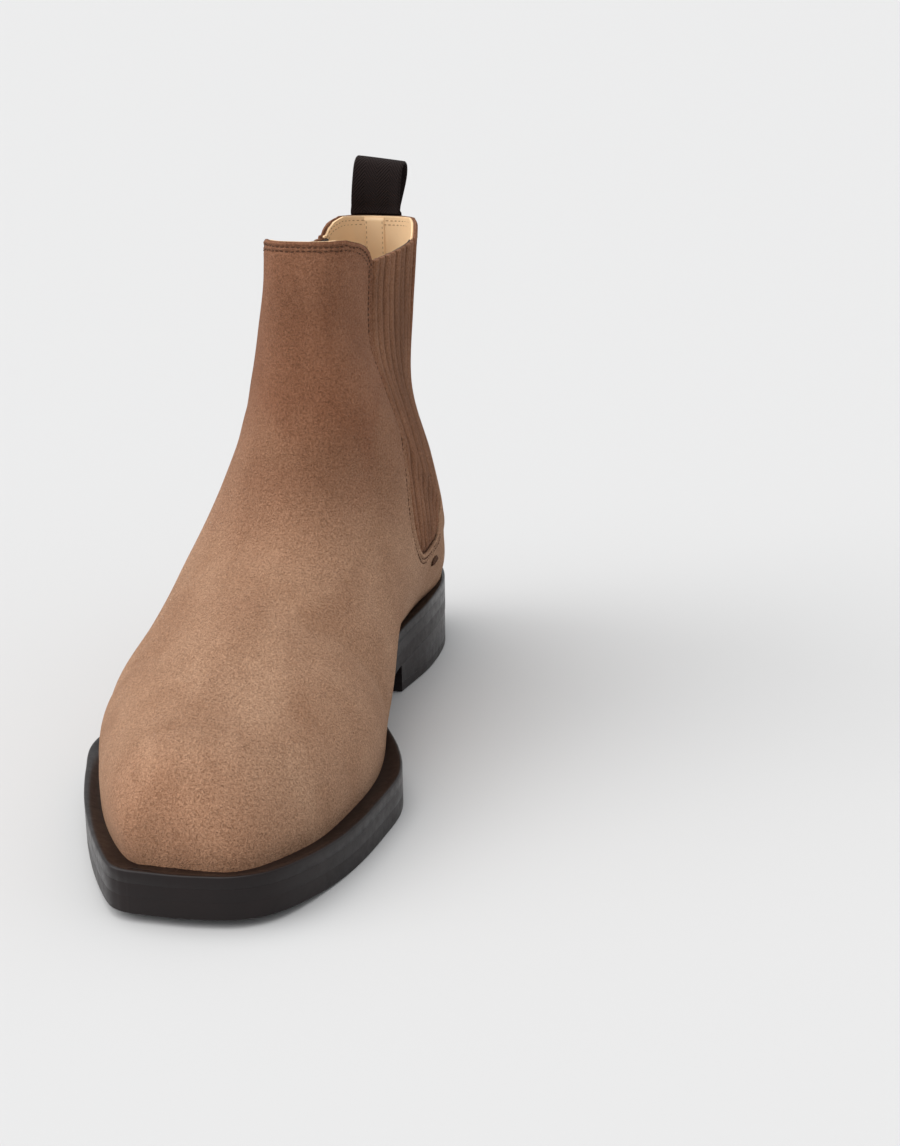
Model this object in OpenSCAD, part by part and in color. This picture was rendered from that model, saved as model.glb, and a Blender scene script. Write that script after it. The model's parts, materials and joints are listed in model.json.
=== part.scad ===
/* [Upper] */
// Thickness of the suede panels
suede_t = 1.4; // [1.2:0.1:1.5]
// Thickness of the lining leather
lining_t = 1; // [0.8:0.1:1.1]
// Thickness of the toe puff and of the heel counter
stiffener_t = 1; // [0.8:0.1:1.1]
// Thickness of the ribbed gore facing
gore_t = 1; // [0.8:0.1:1.1]
// Thickness of the woven gore elastic
elastic_t = 1; // [0.8:0.1:1.1]

/* [Sole] */
// Thickness of the outsole
outsole_t = 6; // [5:0.5:6]
// Thickness of the midsole
midsole_t = 4.6; // [4:0.1:5]
// Thickness of the welt
welt_t = 4.2; // [4:0.1:5]
// Height of the heel under the outsole
heel_h = 15; // [13:0.5:16]
// Toe spring under the tip of the outsole
toe_spring = 3; // [1:0.5:4]
// Thickness of the rubber top piece of the heel
top_piece_t = 4; // [3:0.5:5]
// Distance of the heel breast behind the middle of the sole
breast_y = 56; // [54:1:62]
// Thickness of the insole board
insole_t = 2.4; // [2:0.2:3]
// Thickness of the sock liner
sock_t = 1.2; // [0.8:0.1:1.5]

/* [Pull tab] */
// Width of the tape
tape_w = 20; // [16:1:22]
// Thickness of the tape
tape_t = 1.2; // [1:0.1:1.4]
// Height of the loop above its fold line
loop_h = 21; // [18:1:24]
// Depth of the loop from front to back
loop_d = 12; // [10.5:0.5:14]
// Height at which the tape's tail ends on the back seam
tail_z = 118; // [110:1:130]

/* [Hidden] */

// Clearance between pieces of the same body, and at the line where the back shaft bends
gap = 0.05;
hinge_gap = 0.6;

// ---- Surface of the lasted upper ----
// Axes: toe towards -Y, heel towards +Y, inner (medial) side towards +X, ground at z = 0.
// Each station is one section of the upper. It starts on the ridge of the boot, which is the
// middle of the toe, the instep and the front of the shaft, and ends on the feather line, where
// the upper meets the welt. From the back of the heel upwards it ends on the back seam.
// [ridge x, ridge y, ridge z, end x medial, end x lateral, end y, end z, half widths medial, lateral]
stations = [
    [6, -142, 17, 6, 6, -142, 17, 0, 0],
    [6, -139, 36, 31, -6, -139, 17, 18.5, 18.5],
    [6, -127, 48, 44, -24, -115, 15, 34, 34],
    [5, -103, 54, 50, -41, -83, 15, 45.5, 45.5],
    [4, -77, 62, 50, -54, -49, 15, 49, 52],
    [5, -48, 72, 41, -47, -12, 16, 46, 51],
    [6, -20, 83, 24, -38, 30, 22, 42, 49],
    [5, -8, 98, 25, -31, 77, 28, 38, 47],
    [4, -3, 116, 27, -30, 116, 30, 37, 43],
    [4, 0, 128, 18, -19, 137, 30, 35, 39],
    [4, 2, 139, 3, 3, 144.5, 30, 33, 36],
    [4, 3, 149, 2, 2, 142, 62, 28.7, 32],
    [4, 3, 161, 1, 1, 127, 102, 24, 25],
    [5, 1, 175, 2, 2, 120, 144, 23.4, 19.3],
    [5, 2, 189, 3, 3, 115, 183, 26.2, 17.3]
];
last_t = len(stations) - 1;
heel_t = 10;

// Smooth step from 0 to 1
function smooth(u) = let (c = min(1, max(0, u))) c * c * (3 - 2 * c);

// Catmull-Rom curve through the rows of a list, at parameter t
function row(p, i) = i < 0 ? 2 * p[0] - p[1]
    : i >= len(p) ? 2 * p[len(p) - 1] - p[len(p) - 2] : p[i];
function curve(p, t) = let (
    i = min(len(p) - 2, max(0, floor(t))), u = t - i,
    a = row(p, i - 1), b = row(p, i), c = row(p, i + 1), d = row(p, i + 2)
) 0.5 * (2 * b + (c - a) * u + (2 * a - 5 * b + 4 * c - d) * u * u
    + (3 * b - a - 3 * c + d) * u * u * u);
// Point of a list of control rows at fraction v of its whole length
function along(p, v) = curve(p, v * (len(p) - 1));

// Underside of the outsole, and top of the welt
function rise(y) = heel_h * smooth((y + 35) / 132) + toe_spring * smooth((-100 - y) / 50);
function welt_top(y) = rise(y) + outsole_t + midsole_t + welt_t;

// Power that keeps the sign
function spow(v, p) = sign(v) * pow(abs(v), p);

// Exponent of a section; 2 is an ellipse
function roundness(t) = 2.3 - 0.35 * smooth((t - 2) / 4);
// How much squarer than that the front and rear halves of a shaft section are
function front_fullness(t, side) = side > 0 ? 1.5 * smooth((t - 7) / 2) : 0.6 * smooth((t - 11) / 3);
function rear_fullness(t) = 0.9 * smooth((t - 12) / 1.6);

// Point of the outer surface: t runs from toe to collar, a from ridge (0) to section end (1),
// side is 1 for medial and -1 for lateral
function skin(t, a, side) = let (
    s = curve(stations, t),
    mid_x = (s[3] + s[4]) / 2,
    half = max(0.05, (s[3] - s[4]) / 2),
    w = max(half, side > 0 ? s[7] : s[8]),
    n = roundness(t),
    k = smooth((t - 3) / 3.5),
    ratio = t > heel_t ? 0 : min(1, (half - 0.05) / w),
    end = 180 - asin(pow(ratio, n / 2)),
    c = spow(cos(a * end), 2 / n),
    m = n + (c > 0 ? front_fullness(t, side) : rear_fullness(t)),
    sx = pow(1 - pow(min(1, abs(c)), m), 1 / m),
    drop = (1 - c) / (1 - spow(cos(end), 2 / n)),
    spread = min(1.5, sx / max(ratio, 0.001)),
    end_z = t < heel_t ? welt_top(s[5]) + 0.3 : s[6]
) [
    s[0] + (mid_x - s[0]) * drop + side * w * sx,
    s[1] + (s[5] - s[1]) * ((1 - k) * spread + k * drop),
    s[2] + (end_z - s[2]) * drop
];

// Outward normal of the outer surface
function normal(t, a, side) = let (
    e = 0.02,
    t1 = max(0.01, t - e), t2 = min(last_t, t + e),
    a1 = max(0, a - e), a2 = min(1, a + e),
    c = cross(skin(t2, a, side) - skin(t1, a, side), skin(t, a2, side) - skin(t, a1, side))
) -side * c / norm(c);

// Point at depth d under the outer surface; negative depths lie outside
function layer(t, a, side, d) = skin(t, a, side) - d * normal(t, a, side);

// Side view of the shaft turned into [t, a]: the point [y, z] lies on the section line from the
// ridge to the section end, and a follows from how far down that line it lies
function section_line(t) = let (s = curve(stations, t)) [s[1], s[2], s[5], s[6]];
function beyond(t, y, z) = let (l = section_line(t))
    (l[2] - l[0]) * (z - l[1]) - (l[3] - l[1]) * (y - l[0]);
function find_t(y, z, lo, hi, n = 18) = n == 0 ? (lo + hi) / 2 : let (mid = (lo + hi) / 2)
    beyond(mid, y, z) > 0 ? find_t(y, z, mid, hi, n - 1) : find_t(y, z, lo, mid, n - 1);
function at(y, z) = let (
    t = find_t(y, z, 6.2, last_t), s = curve(stations, t), l = section_line(t),
    drop = (y - l[0]) / (l[2] - l[0]),
    half = max(0.05, (s[3] - s[4]) / 2), w = (s[7] + s[8]) / 2,
    n = roundness(t),
    ratio = t > heel_t ? 0 : min(1, (half - 0.05) / w),
    end = 180 - asin(pow(ratio, n / 2)),
    c = 1 - drop * (1 - spow(cos(end), 2 / n))
) [t, acos(spow(c, n / 2)) / end];

// ---- Pattern lines ----
// Rows of [y, z] in the side view are turned into [t, a] by at()
toe_t = 0.015;
// The gore's two edges start at the crossing of the stitch rows, at the top of the side seam
gore_front_side = [[72, 58], [62, 57.7], [54, 60.4], [47.4, 68], [42.3, 82], [38.9, 100],
    [36, 120], [33.4, 145], [31.4, 170], [31, 178]];
gore_rear_side = [[72, 58.6], [80.2, 60.6], [86.8, 65], [92, 72.5], [95.8, 84.5], [97.6, 100],
    [97.6, 120], [95.6, 140], [92, 160], [88, 177]];
gore_front = [for (p = gore_front_side) at(p[0], p[1])];
gore_rear = [for (p = gore_rear_side) at(p[0], p[1])];
// Foot of the side seam on the feather line, and where the back shaft bends on the back seam
seam_t = 6.92;
bend_t = 11.45;

// Rows of a patch are curves from a hidden side to a cut edge, steered by a middle point
function bent(p, m, q, u) = (1 - u) * (1 - u) * p + 2 * u * (1 - u) * m + u * u * q;

// Front panel: ridge points, steering points and cut edge, from toe to collar
front_ridge = [for (t = [toe_t, 1, 2, 3, 4, 5, 6, 6.5, 6.7, 6.8, 6.9, 7.05, 7.4, 8.1, 9.3, 10.6,
    11.7, 12.7, 13.3, 13.65, last_t]) [t, 0]];
front_steer = [for (t = [toe_t, 1, 2, 3, 4, 5, 6]) [t, 0.5], [6.62, 0.5], [6.82, 0.5], [6.95, 0.48],
    [7, 0.44], [7.1, 0.38], [7.45, 0.32], [8.15, 0.26], [9.3, 0.21], [10.6, 0.19],
    [11.7, 0.18], [12.7, 0.17], [13.35, 0.16], [13.75, 0.14], [last_t, 0.12]];
front_edge = [for (t = [toe_t, 1, 2, 3, 4, 5, 6]) [t, 1], [seam_t, 1], at(72.4, 40), at(71.6, 57.4),
    at(61.8, 56.9), at(53.2, 59.6), at(46.5, 67.8), at(41.8, 82), at(38.4, 100), at(35.5, 120),
    at(32.9, 145), at(31.2, 163), at(30, 176), [13.8, 0.29], [last_t, 0.24]];

// Line where the back shaft bends, from the back seam to the rear edge of the gore
bend_from = [bend_t, 1];
bend_to = at(95, 75);
bend_steer = 2 * at(115, 77) - (bend_from + bend_to) / 2;
function bend(u) = bent(bend_from, bend_steer, bend_to, u);
// Heel panel on each side: line on the feather and cut edge, from the back seam forwards
heel_foot = [for (t = [heel_t, 9.7, 9.4, 9, 8.5, 8.1, 7.7, 7.3, seam_t + 0.01]) [t, 1]];
heel_edge = [bend(0), bend(0.35), bend(0.7), at(95, 75), at(92.5, 69), at(88.5, 63.5), at(83, 59.8),
    at(77.5, 58.2), at(72.4, 57.4)];
// Back panel above the bend line
back_line = [[bend_t, 1], [12, 1], [12.5, 1], [13, 1], [13.4, 1], [13.75, 1], [last_t, 1]];
back_edge = [bend_to, at(98.2, 90), at(99.2, 110), at(97.7, 134), at(93.7, 158), at(89.6, 176),
    [last_t, 0.8]];

// ---- Shells ----
// Closed shell between an outer and an inner grid of points with the same rows and columns
module shell(outer, inner) {
    rows = len(outer);
    cols = len(outer[0]);
    m = rows * cols;
    function id(i, j) = i * cols + j;
    polyhedron(
        points = [for (r = outer) each r, for (r = inner) each r],
        faces = [
            for (i = [0 : rows - 2]) for (j = [0 : cols - 2]) each [
                [id(i, j), id(i + 1, j + 1), id(i, j + 1)],
                [id(i, j), id(i + 1, j), id(i + 1, j + 1)],
                [m + id(i, j), m + id(i, j + 1), m + id(i + 1, j + 1)],
                [m + id(i, j), m + id(i + 1, j + 1), m + id(i + 1, j)]
            ],
            for (j = [0 : cols - 2]) each [
                [id(0, j + 1), m + id(0, j), id(0, j)],
                [id(0, j + 1), m + id(0, j + 1), m + id(0, j)],
                [id(rows - 1, j), m + id(rows - 1, j + 1), id(rows - 1, j + 1)],
                [id(rows - 1, j), m + id(rows - 1, j), m + id(rows - 1, j + 1)]
            ],
            for (i = [0 : rows - 2]) each [
                [id(i, 0), m + id(i + 1, 0), id(i + 1, 0)],
                [id(i, 0), m + id(i, 0), m + id(i + 1, 0)],
                [id(i + 1, cols - 1), m + id(i, cols - 1), id(i, cols - 1)],
                [id(i + 1, cols - 1), m + id(i + 1, cols - 1), m + id(i, cols - 1)]
            ]
        ]
    );
}

// One row of points across the boot: lateral edge, middle line, medial edge. The pieces of one
// pattern share its columns, and trim pulls the last column in from the cut edge.
function column(j, n, trim) = j < n ? j / n : 1 - trim;
function across(mid, steer, edge, n, trim, d) = [
    for (j = [n : -1 : 1]) let (q = bent(mid, steer, edge, column(j, n, trim))) layer(q[0], q[1], -1, d),
    layer(mid[0], mid[1], 1, d),
    for (j = [1 : n]) let (q = bent(mid, steer, edge, column(j, n, trim))) layer(q[0], q[1], 1, d)
];
function mirrored(grid) = [for (r = grid) [for (j = [len(r) - 1 : -1 : 0]) r[j]]];
// Shell over both sides between two depths, over rows first to last of a pattern's rows
module wrap(mid, steer, edge, rows, n, d0, d1, first, last, trim = 0) {
    function grid(d) = [for (i = [first : last]) let (v = i / rows)
        across(along(mid, v), along(steer, v), along(edge, v), n, trim, d)];
    shell(grid(d0), grid(d1));
}

// Front pattern: rows from toe to collar
module front_piece(d0, d1, first = 0, last = 1, trim = 0) {
    rows = 44;
    wrap(front_ridge, front_steer, front_edge, rows, 9, d0, d1, first, rows * last, trim);
}
// Back pattern: rows from the bend line to the collar
module back_piece(d0, d1, first = 0, last = 1, trim = 0) {
    rows = 12;
    function grid(d) = [for (i = [first : rows * last]) let (
        v = max(hinge_gap / 100, i / rows), p = along(back_line, v), q = along(back_edge, v),
        low = smooth(1 - 4 * v), steer = low * (bend_steer - (bend_from + bend_to) / 2) + (p + q) / 2
    ) across(p, steer, q, 8, trim, d)];
    shell(mirrored(grid(d0)), mirrored(grid(d1)));
}
// Heel pattern: columns run round the heel from the lateral to the medial side seam
module heel_piece(d0, d1, low = 0, high = 1, skipped = 0) {
    rows = 8;
    n = 16;
    function cell(v, u) = let (p = along(heel_foot, u), q = along(heel_edge, u)) p + v * (q - p);
    function grid(d) = [for (i = [0 : rows]) let (v = min(high, max(low, i / rows))) [
        for (j = [n - skipped : -1 : 1]) let (q = cell(v, j / n)) layer(q[0], q[1], -1, d),
        for (j = [0 : n - skipped]) let (q = cell(v, j / n)) layer(q[0], q[1], 1, d)
    ]];
    shell(mirrored(grid(d0)), mirrored(grid(d1)));
}

// Shell on one side between the front and the rear edge of the gore
module gore_patch(side, d0, d1) {
    rows = 18;
    n = 6;
    first = 2 / (len(gore_front) - 1);
    function grid(d) = [for (i = [0 : rows]) let (
        p = along(gore_front, first + (1 - first) * i / rows),
        q = along(gore_rear, first / 2 + (1 - first / 2) * i / rows)
    ) [for (j = [0 : n]) let (u = 0.01 + 0.98 * j / n, r = p + u * (q - p)) layer(r[0], r[1], side, d)]];
    if (side > 0)
        shell(grid(d0), grid(d1));
    else
        shell(mirrored(grid(d0)), mirrored(grid(d1)));
}

// ---- Sole ----
// Outline of the sole from toe to heel: [y, lateral x, medial x]
sole_rows = [
    [-150, -1.5, 12], [-149.1, -5.5, 21], [-146.3, -10, 33], [-138.3, -16.3, 43], [-122, -26.8, 50.3],
    [-98, -40, 56], [-74, -50.5, 58.4], [-52, -57.8, 58.4], [-30, -55.8, 51], [-5, -47, 37],
    [22, -41, 27], [52, -37, 27], [84, -35, 31], [112, -33, 30], [132, -26, 24],
    [144, -17, 16], [149, -8, 9], [150, -2, 3]
];
sole_l = 150;
ball_half = 59;
sole_steps = 51;
// Outline rows, pulled in by an inset at the ball of the foot and less where the sole is narrow
function sole_outline(inset) = [for (i = [0 : sole_steps]) let (
    r = along(sole_rows, i / sole_steps), c = (r[1] + r[2]) / 2, f = 1 - inset / ball_half
) [r[0] * (1 - inset / sole_l), c + (r[1] - c) * f, c + (r[2] - c) * f]];
// Part of an outline behind y0, with a straight front edge
function behind(rows, y0) = let (
    k = [for (i = [0 : len(rows) - 1]) if (rows[i][0] > y0) i][0],
    f = (y0 - rows[k - 1][0]) / (rows[k][0] - rows[k - 1][0])
) [rows[k - 1] + f * (rows[k] - rows[k - 1]), for (i = [k : len(rows) - 1]) rows[i]];
// Point of the feather line moved inwards by d in the ground plane
function foot(t, side, d) = let (
    p = skin(t, 1, side), n = normal(t, 1, side), h = norm([n[0], n[1]])
) [p[0] - d * n[0] / h, p[1] - d * n[1] / h];
function foot_row(t, d) = let (m = foot(t, 1, d), l = foot(t, -1, d)) [(m[1] + l[1]) / 2, l[0], m[0]];
// Outline along the feather line, at a distance d inside the upper's outer face
function feather_outline(d) = [for (i = [0 : 40]) foot_row(0.1 + (heel_t - 0.25) * i / 40, d)];

// Plate over outline rows, from z0(y) to z1(y) above the underside of the outsole
module plate(rows, low, high) {
    n = len(rows);
    pts = [for (r = rows) each [
        [r[1], r[0], rise(r[0]) + low], [r[2], r[0], rise(r[0]) + low],
        [r[2], r[0], rise(r[0]) + high], [r[1], r[0], rise(r[0]) + high]
    ]];
    tube(pts, n);
}
// Solid through n sections of four points each
module tube(pts, n) {
    polyhedron(points = pts, faces = [
        [3, 2, 1, 0],
        [4 * n - 4, 4 * n - 3, 4 * n - 2, 4 * n - 1],
        for (i = [0 : n - 2]) for (j = [0 : 3]) let (a = 4 * i + j, b = 4 * i + (j + 1) % 4)
            [a, b, b + 4, a + 4]
    ]);
}

// Flat slab over outline rows, with planar faces
module slab(rows, z0, z1) {
    translate([0, 0, z0]) linear_extrude(z1 - z0) polygon([
        for (r = rows) [r[2], r[0]],
        for (i = [len(rows) - 1 : -1 : 0]) [rows[i][1], rows[i][0]]
    ]);
}

// Heights of the layers above the underside of the outsole
mid_z = outsole_t + gap;
welt_z = outsole_t + midsole_t + 2 * gap;
seat_z = outsole_t + midsole_t + welt_t;
welt_w = 6;
heel_rows = behind(sole_outline(0.3), breast_y);
lift_z = top_piece_t + gap;
seat_lift_z = lift_z + 4 + gap;

// ---- Sub-parts ----
suede = "#9b7a63";
suede_dark = "#7f614d";
sole_brown = "#2a1c18";
tan_leather = "#c9a377";
tape_black = "#241c1b";

ply_gap = 0.12;
inner_d = suede_t + ply_gap;
lining_d = inner_d + stiffener_t + ply_gap;
module front_panel() { color(suede) front_piece(0, suede_t); }
module toe_puff() { color("#d8cfc0") front_piece(inner_d, inner_d + stiffener_t, 1, 6 / 44, 0.03); }
module lining_front() { color(tan_leather) front_piece(lining_d, lining_d + lining_t, 1, 1, 0.02); }
module heel_panel() { color(suede) heel_piece(0, suede_t); }
module heel_counter() {
    color("#b9a58c") heel_piece(inner_d, inner_d + stiffener_t, 0.05, 0.9, 1);
}
module lining_heel() { color(tan_leather) heel_piece(lining_d, lining_d + lining_t, 0.06, 0.97, 0); }
module back_panel() { color(suede) back_piece(0, suede_t); }
module lining_back() { color(tan_leather) back_piece(inner_d, inner_d + lining_t, 0, 1, 0.04); }
module lining_back_strip() {
    d = inner_d + lining_t + 0.4;
    color(tan_leather) wrap(back_line, [for (i = [0 : len(back_line) - 1])
        0.9 * back_line[i] + 0.1 * back_edge[i]], [for (i = [0 : len(back_line) - 1])
        0.8 * back_line[i] + 0.2 * back_edge[i]], 12, 2, d + 0.8, d, 1, 11);
}
module gore_facing_medial() { color(suede_dark) gore_patch(1, 0.5, 0.5 + gore_t); }
module gore_facing_lateral() { color(suede_dark) gore_patch(-1, 0.5, 0.5 + gore_t); }
module gore_elastic_medial() {
    color(tape_black) gore_patch(1, 0.5 + gore_t + gap, 0.5 + gore_t + gap + elastic_t);
}
module gore_elastic_lateral() {
    color(tape_black) gore_patch(-1, 0.5 + gore_t + gap, 0.5 + gore_t + gap + elastic_t);
}

// Oval thread pad on the side seam just under the gore
module bar_tack(side) {
    t = 7.62;
    a = 0.795;
    n = normal(t, a, side);
    p = skin(t, a, side) + (0.6 + gap) * n;
    color(sole_brown) translate(p) rotate([0, acos(n[2]), atan2(n[1], n[0])])
        rotate([0, 0, 90]) linear_extrude(0.8, center = true) {
            square([5, 3], center = true);
            for (x = [-2.5, 2.5]) translate([x, 0]) circle(d = 3, $fn = 32);
        }
}
module bar_tack_medial() { bar_tack(1); }
module bar_tack_lateral() { bar_tack(-1); }

// Centre of the fold line of the pull loop
seam_top = skin(last_t, 1, 1);
fold_r = tape_t;
tape_x = 1;
tape_off = 0.5;
fold = [seam_top[0] + tape_x, seam_top[1] - suede_t / 2, seam_top[2] + fold_r + 0.5];

// Tail of the tape on the outside of the back seam
tail_t = let (k = 12) k + (tail_z - stations[k][6]) / (stations[k + 1][6] - stations[k][6]);
module back_tape() {
    steps = 12;
    function reach(t, x) = let (
        s = curve(stations, t), n = roundness(t), m = n + rear_fullness(t),
        u = abs(x) / (x > 0 ? s[7] : s[8])
    ) acos(-pow(1 - pow(u, m), n / (2 * m))) / 180;
    function strip(d) = [for (i = [0 : steps]) let (t = tail_t + (last_t - 0.02 - tail_t) * i / steps)
        [for (j = [-3 : 3]) let (x = tape_x + j * tape_w / 6)
            layer(t, reach(t, x), x > 0 ? 1 : -1, -d)]];
    color(tape_black) shell(mirrored(strip(tape_off + tape_t)), mirrored(strip(tape_off)));
}

// Teardrop outline in the plane of the loop, standing on its fold
function drop_point(s, h, d) = let (f = pow(sin(s / 2), 1.4)) [d / 2 * sin(s) * f * 1.12, h * (1 - cos(s)) / 2];
module pull_loop() {
    color(tape_black) translate(fold) rotate([90, 0, 90])
        linear_extrude(tape_w, center = true) {
            difference() {
                polygon([for (s = [6 : 6 : 354]) drop_point(s, loop_h, loop_d)]);
                translate([0, 2 * tape_t]) polygon([for (s = [6 : 6 : 354])
                    drop_point(s, loop_h - 3 * tape_t, loop_d - 2 * tape_t)]);
            }
            circle(r = fold_r, $fn = 48);
        }
}

module insole_board() { color("#a98d6b") plate(feather_outline(5.2), seat_z + gap, seat_z + insole_t); }
module sock_liner() {
    color(tan_leather) plate(feather_outline(5.8), seat_z + insole_t + gap, seat_z + insole_t + sock_t);
}

// The welt is a ring: outline rows outside, feather rows pulled under the upper inside
ring_steps = 44;
end_table = [for (i = [0 : heel_t]) [stations[i][5], i]];
function inner_row(y, d) = foot_row(max(0.1, min(heel_t - 0.15, lookup(y * 0.95, end_table))), d);
function ring_rows(d) = [for (i = [0 : ring_steps]) inner_row(along(sole_rows, i / ring_steps)[0], d)];
function ring_outer() = [for (i = [0 : ring_steps]) along(sole_rows, i / ring_steps)];
function looped(rows) = concat([for (r = rows) [r[2], r[0]]],
    [for (i = [len(rows) - 1 : -1 : 0]) [rows[i][1], rows[i][0]]]);
module welt() {
    outer = looped(ring_outer());
    inner = looped(ring_rows(welt_w));
    n = len(outer);
    function lift(p, h) = [p[0], p[1], rise(p[1]) + h];
    pts = [for (i = [0 : n - 1]) each [lift(outer[i], welt_z), lift(outer[i], seat_z),
        lift(inner[i], seat_z), lift(inner[i], welt_z)]];
    color(sole_brown) polyhedron(points = pts, faces = [
        for (i = [0 : n - 1]) for (j = [0 : 3]) let (
            k = (i + 1) % n, a = 4 * i + j, b = 4 * i + (j + 1) % 4,
            c = 4 * k + j, d = 4 * k + (j + 1) % 4
        ) each [[a, b, d], [a, d, c]]
    ]);
}

// Shank: a bowed steel strip in the waist, under its cover
shank_rows = [for (i = [0 : 16]) let (y = -4 + 96 * i / 16) [y, -12, 2]];
shank_t = 1.6;
function filler_rows(y0, y1) = [for (r = ring_rows(welt_w + 0.4)) if (r[0] > y0 && r[0] < y1) r];
module shank() { color("silver") plate(shank_rows, welt_z, welt_z + shank_t); }
// Cover plate with a channel for the shank along its underside
module shank_cover() {
    rows = filler_rows(-6, 124);
    n = len(rows);
    function section(r) = let (
        low = rise(r[0]) + welt_z, ceiling = low + shank_t + ply_gap, top = rise(r[0]) + seat_z
    ) [
        [r[1], r[0], low], [shank_rows[0][1] - ply_gap, r[0], low], [shank_rows[0][1] - ply_gap, r[0], ceiling],
        [shank_rows[0][2] + ply_gap, r[0], ceiling], [shank_rows[0][2] + ply_gap, r[0], low],
        [r[2], r[0], low], [r[2], r[0], top], [r[1], r[0], top]
    ];
    function cap(k) = [[k, k + 1, k + 2, k + 7], [k + 7, k + 2, k + 3, k + 6], [k + 3, k + 4, k + 5, k + 6]];
    function flipped(f) = [f[3], f[2], f[1], f[0]];
    color("#8c7355") polyhedron(points = [for (r = rows) each section(r)], faces = [
        each cap(8 * (n - 1)),
        for (f = cap(0)) flipped(f),
        for (i = [0 : n - 2]) for (j = [0 : 7]) let (a = 8 * i + j, b = 8 * i + (j + 1) % 8)
            [a, b, b + 8, a + 8]
    ]);
}
module cork_filler() { color("#b8905c") plate(filler_rows(-150, -7.5), welt_z, seat_z); }

module midsole() { color(sole_brown) plate(sole_outline(0.2), mid_z, mid_z - gap + midsole_t); }
module outsole() { color(sole_brown) plate(sole_outline(0), 0, outsole_t); }

// Top of the heel stack follows the underside of the outsole
module heel_seat_lift() {
    n = len(heel_rows);
    pts = [for (r = heel_rows) each [
        [r[1], r[0], seat_lift_z], [r[2], r[0], seat_lift_z],
        [r[2], r[0], rise(r[0]) - gap], [r[1], r[0], rise(r[0]) - gap]
    ]];
    color(sole_brown) tube(pts, n);
}

nail_r = 0.9;
nail_head_r = 1.6;
nail_top = lift_z + 3.4;
// Nail places along the heel's edge
nail_places = [[-27, 66], [-27, 88], [-24, 110], [-14, 130], [2, 137], [15, 128], [22, 108], [23, 86], [20, 66]];
module nail(r, head_r, z0, z1) {
    translate([0, 0, z0]) cylinder(r = head_r, h = 0.8, $fn = 32);
    translate([0, 0, z0 + 0.8]) cylinder(r = r, h = z1 - z0 - 0.8, $fn = 32);
}
module at_nails() { for (p = nail_places) translate([p[0], p[1], 0]) children(); }
module top_piece() {
    color("#1c1615") difference() {
        slab(heel_rows, 0, top_piece_t);
        at_nails() {
            translate([0, 0, -1]) cylinder(r = nail_head_r + gap, h = 2.2, $fn = 32);
            cylinder(r = nail_r + gap, h = top_piece_t + 1, $fn = 32);
        }
    }
}
module heel_lift() {
    color(sole_brown) difference() {
        slab(heel_rows, lift_z, seat_lift_z - gap);
        at_nails() cylinder(r = nail_r + gap, h = nail_top + gap, $fn = 32);
    }
}
module heel_nails() { color("gold") at_nails() nail(nail_r, nail_head_r, 0.4, nail_top); }

front_panel();
back_panel();
heel_panel();
gore_facing_medial();
gore_facing_lateral();
gore_elastic_medial();
gore_elastic_lateral();
toe_puff();
heel_counter();
lining_front();
lining_back();
lining_heel();
lining_back_strip();
bar_tack_medial();
bar_tack_lateral();
back_tape();
pull_loop();
insole_board();
sock_liner();
cork_filler();
shank();
shank_cover();
welt();
midsole();
outsole();
heel_seat_lift();
heel_lift();
top_piece();
heel_nails();
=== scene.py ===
import json
import math

import bmesh
import bpy
import numpy as np
from mathutils import Matrix, Vector
from mathutils.bvhtree import BVHTree


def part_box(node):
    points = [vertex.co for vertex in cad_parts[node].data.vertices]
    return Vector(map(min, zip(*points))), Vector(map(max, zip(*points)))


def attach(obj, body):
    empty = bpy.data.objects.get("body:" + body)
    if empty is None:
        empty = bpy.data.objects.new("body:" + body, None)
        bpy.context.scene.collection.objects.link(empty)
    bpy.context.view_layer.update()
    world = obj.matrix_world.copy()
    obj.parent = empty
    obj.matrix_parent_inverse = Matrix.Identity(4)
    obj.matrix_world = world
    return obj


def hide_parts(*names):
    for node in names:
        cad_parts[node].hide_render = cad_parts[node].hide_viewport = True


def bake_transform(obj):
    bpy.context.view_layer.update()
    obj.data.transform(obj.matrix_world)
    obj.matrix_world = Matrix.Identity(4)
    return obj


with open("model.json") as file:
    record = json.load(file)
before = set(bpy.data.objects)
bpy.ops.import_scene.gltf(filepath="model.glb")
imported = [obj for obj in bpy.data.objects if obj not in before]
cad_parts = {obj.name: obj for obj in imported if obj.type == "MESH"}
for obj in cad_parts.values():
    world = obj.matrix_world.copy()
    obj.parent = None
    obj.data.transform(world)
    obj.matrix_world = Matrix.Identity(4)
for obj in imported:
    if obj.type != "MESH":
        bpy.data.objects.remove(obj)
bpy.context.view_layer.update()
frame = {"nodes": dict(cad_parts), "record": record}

# Work is in millimetres in the row frame: toe -Y, heel +Y, medial +X. Meshes are scaled to metres.
MM = 0.001

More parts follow.
